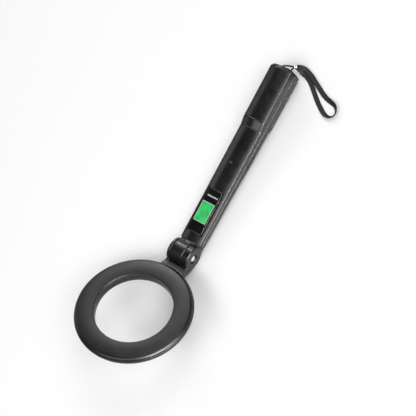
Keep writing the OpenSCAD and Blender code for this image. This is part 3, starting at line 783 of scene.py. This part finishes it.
def spacing(first, last, wall_first, wall_last, step=1.0):
    ys = set(np.round(np.arange(math.ceil(first + 2), last - 6, step), 3).tolist())
    for low, high in ((30, 32.2), (90, 92.4), (178, 199)) if first < 150 else ():
        ys |= set(np.round(np.arange(low, high, 0.2), 3).tolist())
    ys |= set(np.round(np.arange(max(first, 257), last - 1.2, 0.5), 3).tolist())
    r0, r1 = (0.8 if wall_first else 0.5), 1.2
    ys |= {round(first + r0 * (1 - math.cos(math.radians(t))), 4) for t in (0, 18, 36, 54, 72, 90)}
    ys |= {round(last - r1 * (1 - math.cos(math.radians(t))), 4) for t in (0, 15, 30, 45, 60, 75, 90)}
    if wall_first:
        ys |= {first + WALL, first + WALL + 0.01}
    if wall_last:
        ys |= {last - 3 - 0.01, last - 3}
    return sorted(y for y in ys if first <= y <= last)


WINDOW = (10.5, 31.6, 90.5, 2.4, 3.4)
LCD_Y, LCD_X = (45.3, 73.2), -0.8


BUTTON = (144, -11.4, math.radians(-13))
BUTTON_R, BUTTON_HALF = 3.2, 4.6


def stadium(name, levels, place):
    """A round-ended outline along the handle, lofted along X through levels of (inset, x)."""
    y0, z0, tilt = BUTTON
    c, s = math.cos(tilt), math.sin(tilt)
    rings = []
    for inset, x in levels:
        q = BUTTON_R - inset
        outline = arc(BUTTON_HALF, 0, q, -90, 90, 17) + arc(-BUTTON_HALF, 0, q, 90, 270, 17)
        rings.append([(x, y0 + a * c - b * s, z0 + a * s + b * c) for a, b in outline])
    return loft(name, rings, place, 35)


def strap_eyes():
    """The two holes through the butt for the strap's cord, with eased rims in the cap."""
    profile = [(0, 264.5), (1.8, 264.5), (1.8, 271.4), (1.95, 271.9), (2.5, 272.5), (2.5, 276), (0, 276)]
    return [lathe("eye", profile, HANDLE, 40, (x, 3.5), "Y") for x in (-3.5, 11.5)]


def door_room():
    """What the door takes out of the rear shell."""
    return block("door_room", (-20, 195.0, -30), (20, 276, DOOR_Z + 0.3), HANDLE)


front = loft("front_case", [front_ring(y) for y in spacing(Y0, Y1, True, True)], HANDLE, 35)
combine(front, [block("panel", (-12.5, 29.6, 0.2), (12.5, 92.5, 2.6), FACE)], "UNION", 35)
mid_y, half_l = (WINDOW[1] + WINDOW[2]) / 2, (WINDOW[2] - WINDOW[1]) / 2
lamp_rim = [(0, -5), (1.3, -5), (1.3, 3.7), (1.45, 3.95), (1.9, 4.3), (1.9, 8), (0, 8)]
cuts = [
    plate("pocket", 0, mid_y, WINDOW[0] + 0.12, half_l + 0.12, 0.9, WINDOW[3], 12, FACE, bevel=0),
    block("lcd_hole", (LCD_X - 10, 43.8, -5), (LCD_X + 10, 74.8, 5), FACE),
    lathe("lamp_hole", lamp_rim, FACE, 48, (0, 132)),
    block("tang_hole", (-10, 17, -12), (5.6, 38, -2), HANDLE),
]
cuts += strap_eyes()
combine(front, cuts, sharp=35)
finish_piece(front, "case_plastic", "handle", "case_plastic", "front_shell")

rear = loft("rear_case", [back_ring(y) for y in spacing(Y0, Y1, True, True)], HANDLE, 35)
combine(rear, [block("pad", (10.8, 133, -19), (15, 155, -6.7), HANDLE)], "UNION", 35)
combine(rear, [door_room()], sharp=35)
combine(rear, [block("bulkhead", (-14.2, 197, DOOR_Z + 0.3), (14.2, 198.6, -6.6), HANDLE)], "UNION", 35)
slot_levels = [(-0.5, 5), (-0.5, 15.2), (-0.6, 15.6), (-0.85, 15.85), (-1.2, 15.97), (-1.9, 16.1), (-1.9, 20)]
cuts = [stadium("slot", slot_levels, HANDLE), block("tang_hole", (-10, 17, -12), (5.6, 38, -2), HANDLE)]
CASE_SCREWS = [(0, 186.5, -17), (-10.5, 260.5, -13.3), (10.5, 260.5, -13.3), (-2, 29, -14.2)]
for x, y, z in CASE_SCREWS:
    cuts.append(lathe("well", [(0, -30), (2.1, -30), (2.1, z), (0, z)], HANDLE, 40, (x, y)))
combine(rear, cuts, sharp=35)
finish_piece(rear, "case_plastic", "handle", "case_plastic", "rear_shell")

door = loft("battery_hatch", [door_ring(y) for y in spacing(DOOR_Y, Y1, False, True)], HANDLE, 35)
grooves = []
GROOVE_R, GROOVE_X = 0.8, np.linspace(-9.55, 9.55, 25)
for y in range(200, 213, 3):
    ends = [max(0, abs(x) - 8.8) / GROOVE_R for x in GROOVE_X]
    profile = [(GROOVE_R * math.sqrt(max(0, 1 - e**2)), x) for e, x in zip(ends, GROOVE_X)]
    profile = [(0, -9.6)] + profile + [(0, 9.6)]
    grooves.append(lathe("groove", profile, HANDLE, 24, (y, -25.3), "X"))
combine(door, grooves, sharp=35)
finish_piece(door, "case_plastic", "door", "case_plastic", "battery_door")

CAP_Y, CAP_BOTTOM = 272.4, DOOR_Z + 0.3


def cap_ring(f):
    """The butt cap's section at f of the way from the shells' end face to its own flat top."""
    inset = 0.85 + 2.9 * (1 - math.sqrt(1 - f * f))
    half_w, edge, back = HALF_W - inset, EDGE[-1] - inset, BACK[-1] + inset
    top = [(x, z) for x, z in front_path(0, half_w, edge, -8) if z > -7.6]
    base = [(half_w, z) for z in np.linspace(-9, back + 5, 8)] + [(half_w - 3, back)]
    path = top + base + [(-x, z) for x, z in base[::-1]]
    return [(x, (1 - f) * (Y1 + 0.05 + BUTT_LEAN * (EDGE[-1] - z)) + f * CAP_Y, z) for x, z in path]


cap = loft("end_cap", [cap_ring(math.sin(math.radians(a))) for a in range(0, 91, 9)], HANDLE, 35)
combine(cap, [block("below", (-20, 262, -40), (20, 280, CAP_BOTTOM), HANDLE)] + strap_eyes(), sharp=35)
finish_piece(cap, "cap_plastic", "handle", "case_plastic", "butt_cap")

case_screw_list = [screw("s", 2.0, 1.3, 1.1, 7.5, HANDLE, (x, y), z) for x, y, z in CASE_SCREWS]
case_screws = join("case_screw_set", case_screw_list)
smooth(case_screws, 30)
finish_piece(case_screws, "steel_screw", "handle", "steel_screw", "case_screws")

# ---- display, lamp and button ----
window = plate("window_frame", 0, mid_y, WINDOW[0], half_l, 0.8, WINDOW[3], WINDOW[4], FACE, bevel=0.35)
lcd_mid, lcd_half = sum(LCD_Y) / 2, (LCD_Y[1] - LCD_Y[0]) / 2
combine(window, [plate("opening", LCD_X, lcd_mid, 9.4, lcd_half, 0.5, 0, 6, FACE, bevel=0)], sharp=35)
finish_piece(window, "window_gloss", "handle", "window_gloss", "display_window")

border = plate("lcd_surround", LCD_X, lcd_mid, 9.36, lcd_half - 0.04, 0.5, 2.45, 3.3, FACE, bevel=0.12)
combine(border, [plate("inside", LCD_X, lcd_mid, 8.7, lcd_half - 0.75, 0.4, 0, 6, FACE, bevel=0)], sharp=35)
finish_piece(border, "lcd_border", "handle", "lcd")

pane = plate("lcd_pane", LCD_X, lcd_mid, 8.68, lcd_half - 0.77, 0.4, 2.45, 3.15, FACE, bevel=0.1)
lcd_body = plate("lcd_body", LCD_X, 59.3, 9.9, 15.4, 0.4, 0.05, 2.42, FACE, bevel=0.2)
lcd = join("lcd_glass", [pane, lcd_body])
finish_piece(lcd, "lcd", "handle", "lcd", "display_module")

bars = []
for k in range(5):
    at_x, at_y, tall = LCD_X - 4.4 + 2.2 * k, lcd_mid - 3.0 + 0.7 * k, 1.4 + 0.7 * k
    bars.append(plate("bar", at_x, at_y, 0.6, tall, 0.2, 3.1, 3.19, FACE, bevel=0.03, steps=2))
marks = join("lcd_bars", bars)
finish_piece(marks, "lcd_mark", "handle", "lcd")

ticks = []
for k in range(13):
    half = 1.15 if k % 3 == 0 else 0.8
    at_x, low, high = -7.5 + 1.25 * k, WINDOW[4] - 0.2, WINDOW[4] + 0.03
    ticks.append(plate("tick", at_x, 80.8 + half, 0.4, half, 0.15, low, high, FACE, bevel=0.02, steps=2))
tick_row = join("window_ticks", ticks)
finish_piece(tick_row, "print_white", "handle", "window_gloss")

lamp_sweep = np.linspace(0.15, math.pi / 2, 9)
lamp_profile = [(0, 4.62)] + [(1.25 * math.sin(t), 4.0 + 0.62 * math.cos(t)) for t in lamp_sweep]
lamp_profile += [(1.25, -1.0), (1.1, -1.2), (0.4, -1.2), (0.4, -4.5), (0, -4.5)]
lamp = lathe("lamp_dome", lamp_profile, FACE, 48, (0, 132))
finish_piece(lamp, "lamp_red", "handle", "lamp_red", "alarm_lamp")

cap_levels = [(0, 12.6), (0, 15.2)]
cap_levels += [(0.45 * (1 - math.cos(t)), 15.2 + 0.4 * math.sin(t)) for t in (0.4, 0.8, 1.2, 1.57)]
cap_levels += [(0.45 + 2.7 * s, 15.98 - 0.38 * (1 - s) ** 2) for s in (0.15, 0.3, 0.5, 0.75, 1.0)]
key = stadium("key_cap", cap_levels, HANDLE)
stem = lathe("stem", [(0, 11.1), (1.5, 11.1), (1.5, 12.8), (0, 12.8)], HANDLE, 32, BUTTON[:2], "X")
key = combine(key, [stem], "UNION", 35)
finish_piece(key, "button_rubber", "button", "button_rubber", "side_button")

# ---- inner pieces that keep their CAD mesh ----
INNER = {
    "search_coil": "copper", "coil_former": "bobbin", "coil_lead": "wire", "friction_washers": "brass_washer",
    "display_bezel": "inner_plastic", "main_board": "board_green", "board_chips": "part_black",
    "buzzer": "part_black", "vibration_motor": "motor_metal", "side_switch": "part_black",
    "board_screws": "steel_screw", "battery": "battery_wrap", "battery_clip": "inner_plastic",
    "battery_leads": "wire_red", "handle_lead": "wire",
}
for name, material in INNER.items():
    node = frame["nodes"][name]
    node.data.materials.clear()
    node.data.materials.append(MATERIALS[material])

# ---- wrist strap ----
CORD = [
    [3, 281.6, 17], [2.1, 280.2, 20], [0.8, 278.5, 23.3], [-0.7, 276.7, 26.4], [-2.1, 274.9, 29.1],
    [-3.1, 272.9, 31], [-3.5, 270.6, 31.9], [-3.5, 268.2, 31.9], [-3.1, 266.2, 31.8],
    [-1.8, 264.6, 31.7], [0.6, 263.8, 31.6], [4, 263.7, 31.6], [7.4, 263.8, 31.6], [9.8, 264.6, 31.7],
    [11.1, 266.2, 31.8], [11.5, 268.2, 31.9], [11.5, 270.6, 31.9], [11.2, 272.9, 31],
    [10.4, 274.9, 28.9], [9.2, 277, 26], [7.8, 279, 22.7], [6.2, 280.5, 19.6], [4.9, 281.4, 17.2],
]
FERRULE = [[3.6, 281.1, 17.6], [6.6, 283.5, 13.6]]
WEB = [
    [5.9, 283.9, 14.4, 3.6, 0], [8, 286.6, 10.5, 5, 0], [13, 288.6, 5.4, 6.4, 0],
    [25, 284.6, 2.6, 6.4, 0], [36, 278.2, 2.5, 6.4, 0], [46, 272.2, 1.9, 6.4, 0],
    [54.4, 267.2, 1.6, 6.4, 4], [61.4, 264.1, 1.6, 6.4, 12], [69.3, 261.8, 2.3, 6.4, 28],
    [75.4, 259.6, 2.9, 6.4, 44], [79.4, 256, 3.2, 6.4, 56], [81.6, 251.8, 3.3, 6.4, 62],
    [81.8, 247.6, 3.3, 6.4, 60], [80, 244.6, 3.1, 6.4, 54], [77, 242.8, 2.9, 6.4, 46],
    [72.6, 242.8, 2.5, 6.4, 34], [67, 244.9, 1.7, 6.4, 16], [60.2, 249.2, 1, 6.4, 0],
    [53, 254.6, 0.9, 6.4, 0], [45.4, 261.2, 0.9, 6.4, 0], [38.6, 267.4, 0.9, 6.4, 0],
    [31.6, 273.6, 0.9, 6.4, 0], [21.4, 280.2, 0.9, 6.4, 0], [12.6, 283, 2.4, 6.4, 0],
    [8.6, 283.4, 6.4, 5, 0], [6, 282.9, 12.6, 3.6, 0],
]


def spline(rows, step):
    """Points spaced step apart on a smooth curve through the rows; other columns go along."""
    rows = np.asarray(rows, float)
    span = np.linalg.norm(np.diff(rows[:, :3], axis=0), axis=1) ** 0.5
    t = np.concatenate([[0], np.cumsum(span)])
    slope = np.gradient(rows, t, axis=0)
    out = []
    for i in range(len(rows) - 1):
        h = t[i + 1] - t[i]
        for s in np.linspace(0, 1, 24, endpoint=False):
            a, b = 2 * s**3 - 3 * s**2 + 1, s**3 - 2 * s**2 + s
            c, d = -2 * s**3 + 3 * s**2, s**3 - s**2
            out.append(a * rows[i] + b * h * slope[i] + c * rows[i + 1] + d * h * slope[i + 1])
    out = np.array(out + [rows[-1]])
    along = np.concatenate([[0], np.cumsum(np.linalg.norm(np.diff(out[:, :3], axis=0), axis=1))])
    at = np.linspace(0, along[-1], int(along[-1] / step) + 1)
    return np.stack([np.interp(at, along, out[:, k]) for k in range(rows.shape[1])], 1), at


def frames_along(points):
    t = np.gradient(points, axis=0)
    t /= np.linalg.norm(t, axis=1)[:, None]
    flat = np.cross([0, 0, 1], t)
    flat /= np.maximum(np.linalg.norm(flat, axis=1), 1e-6)[:, None]
    return t, flat, np.cross(t, flat)


def strap_ribbon():
    """Flat woven webbing: slanting ribs either side of the middle, and a rounded selvedge."""
    rows, at = spline(WEB, 0.3)
    path, width, roll = rows[:, :3], rows[:, 3], np.radians(rows[:, 4])
    _, flat, up = frames_along(path)
    side = flat * np.cos(roll)[:, None] + up * np.sin(roll)[:, None]
    face = up * np.cos(roll)[:, None] - flat * np.sin(roll)[:, None]
    u = np.concatenate([np.linspace(-1, 1, 33), np.linspace(1, -1, 33)])
    sign = np.repeat([1.0, -1.0], 33)
    half = width[:, None] / 2
    across = u[None, :] * half
    edge = np.sqrt(np.clip(1 - ((np.abs(u) - 0.86) / 0.14).clip(0, 1) ** 2, 0, 1))[None, :]
    rib = np.abs(np.sin(math.pi * (at[:, None] / 1.05 + np.abs(across) / 1.4)))
    welt = np.exp(-(((np.abs(u)[None, :] - 0.84) / 0.07) ** 2))
    height = (0.47 + 0.09 * rib + 0.06 * welt) * edge
    lift = (sign[None, :] * height)[..., None]
    points = path[:, None] + side[:, None] * across[..., None] + face[:, None] * lift
    return loft("strap_band", points, FLOOR, 60), path


def strap_loop():
    """Braided cord: strands crossing both ways round a round core."""
    rows, at = spline(CORD, 0.16)
    _, flat, up = frames_along(rows)
    a = np.linspace(0, 2 * math.pi, 40, endpoint=False)
    turn = at[:, None] * 2 * math.pi / 7.5
    lay = np.maximum(np.abs(np.sin(4 * (a[None, :] + turn))), np.abs(np.sin(4 * (a[None, :] - turn))))
    r = 1.0 + 0.1 * lay
    points = rows[:, None] + flat[:, None] * (r * np.cos(a))[..., None]
    points = points + up[:, None] * (r * np.sin(a))[..., None]
    return loft("strap_braid", points, FLOOR, 60), rows


def crimp(name):
    """A round crimped ferrule with two pressed waists."""
    a, b = np.array(FERRULE[0], float), np.array(FERRULE[1], float)
    length = np.linalg.norm(b - a)
    z = (b - a) / length
    x = np.cross(z, [0, 0, 1])
    x /= np.linalg.norm(x)
    y = np.cross(z, x)
    s = np.concatenate([[0, 0, 0.02, 0.06], np.linspace(0.1, 0.9, 25), [0.94, 0.98, 1, 1]])
    r = np.full(len(s), 2.45)
    r -= 0.35 * np.exp(-(((s - 0.3) / 0.07) ** 2)) + 0.35 * np.exp(-(((s - 0.7) / 0.07) ** 2))
    r[[0, -1]] = 1.6
    r[[1, -2]] = 2.1
    r[[2, -3]] = 2.35
    angle = np.linspace(0, 2 * math.pi, 48, endpoint=False)
    spokes = [x * math.cos(t) + y * math.sin(t) for t in angle]
    rings = [[a + z * length * si + ri * spoke for spoke in spokes] for si, ri in zip(s, r)]
    return loft(name, rings, FLOOR, 40)


ribbon, web_path = strap_ribbon()
finish_piece(ribbon, "webbing_black", "handle", "webbing_black", "strap_webbing")
braid, cord_path = strap_loop()
finish_piece(braid, "cord_black", "handle", "cord_black", "strap_cord")
ferrule = crimp("strap_crimp")
finish_piece(ferrule, "steel_bright", "handle", "steel_bright", "strap_ferrule")


# ---- camera ----
lens = bpy.data.cameras.new("camera")
lens.lens = 75.0
lens.sensor_width = 36.0
lens.clip_end = 20
camera = bpy.data.objects.new("camera", lens)
bpy.context.scene.collection.objects.link(camera)
right, down, ahead = (0.7905, 0.4776, -0.3834), (0.4195, -0.8784, -0.2292), (-0.4462, 0.0203, -0.8947)
look = Matrix([(r, -d, -a) for r, d, a in zip(right, down, ahead)])
at = HANDLE @ Vector((497.1, 43.8, 998.4))
camera.matrix_world = Matrix.Translation(at) @ (turn_x(PITCH).to_3x3() @ look).to_4x4()
bpy.context.scene.camera = camera

# ---- floor and light ----
floor_mesh = bpy.data.meshes.new("floor")
floor_mesh.from_pydata([(-4, -4, 0), (4, -4, 0), (4, 4, 0), (-4, 4, 0)], [], [(0, 1, 2, 3)])
floor = bpy.data.objects.new("floor", floor_mesh)
bpy.context.scene.collection.objects.link(floor)
floor_look = Nodes("floor_white")
floor_look.shader.inputs["Base Color"].default_value = (0.9, 0.9, 0.9, 1)
floor_look.set(rough=0.9, specular=0.1)
floor_mesh.materials.append(floor_look.material)

world = bpy.data.worlds.new("studio")
world.use_nodes = True
world.node_tree.nodes["Background"].inputs["Color"].default_value = (1, 1, 1, 1)
world.node_tree.nodes["Background"].inputs["Strength"].default_value = 0.3
world.cycles_visibility.glossy = False
bpy.context.scene.world = world


LIGHT_DISTANCE = 1.5


def softbox(name, azimuth, elevation, size, power, glossy_only=False):
    """An area light aimed at the part. Azimuth runs from the +X side towards the butt."""
    light = bpy.data.lights.new(name, "AREA")
    light.shape = "RECTANGLE"
    light.size, light.size_y = size
    light.energy = power
    obj = bpy.data.objects.new(name, light)
    bpy.context.scene.collection.objects.link(obj)
    a, e = math.radians(azimuth), math.radians(elevation)
    aim = Vector((math.cos(a) * math.cos(e), math.sin(a) * math.cos(e), math.sin(e)))
    obj.location = Vector((0, 0, 0.02)) + aim * LIGHT_DISTANCE
    obj.rotation_euler = aim.to_track_quat("Z", "Y").to_euler()
    obj.visible_diffuse = not glossy_only
    return obj


softbox("right_high", 0, 55, (0.9, 0.7), 7)
softbox("front_high", 270, 55, (0.9, 0.7), 7)
softbox("front_right", 315, 55, (0.9, 0.7), 2.5)
softbox("back_high", 90, 55, (0.9, 0.7), 5)
softbox("back_left", 130, 30, (0.6, 0.5), 3)
softbox("left", 180, 30, (0.9, 0.7), 2.7)
softbox("right_edge", 0, 6, (0.55, 0.32), 16, True)
softbox("right_line", 0, 40, (1.2, 0.25), 60, True)
softbox("back_line", 120, 20, (0.4, 0.2), 5, True)
bpy.context.scene.view_settings.view_transform = "Standard"
